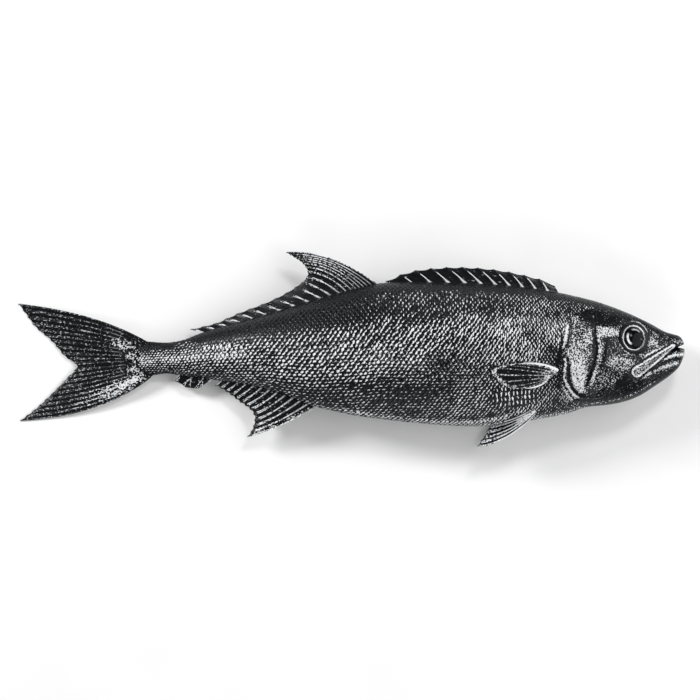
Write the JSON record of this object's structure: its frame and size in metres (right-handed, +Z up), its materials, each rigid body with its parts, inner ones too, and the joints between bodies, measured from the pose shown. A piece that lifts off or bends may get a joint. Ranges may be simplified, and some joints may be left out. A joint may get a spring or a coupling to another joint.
{
  "type": "whole raw fish",
  "caption": "Whole raw sea fish lying on its side: a streamlined scaly body with fins along its back and belly, a forked tail and a shut mouth.",
  "frame": {"origin": "on the surface the fish lies on, under the middle of its outline", "axes": "+X from the tail to the snout, +Y from the belly to the back, +Z up out of the flank that shows"},
  "size_m": [0.6026, 0.1752, 0.0726],
  "materials": {
    "skin": "wet skin with small silver-edged scales, dark on the back, with dark fins that have paler rays",
    "eye": "wet clear eye with a dark iris and a pale ring"
  },
  "bodies": {
    "root": {"fish": "skin", "eye_upper": "eye", "eye_lower": "eye"}
  },
  "joints": []
}
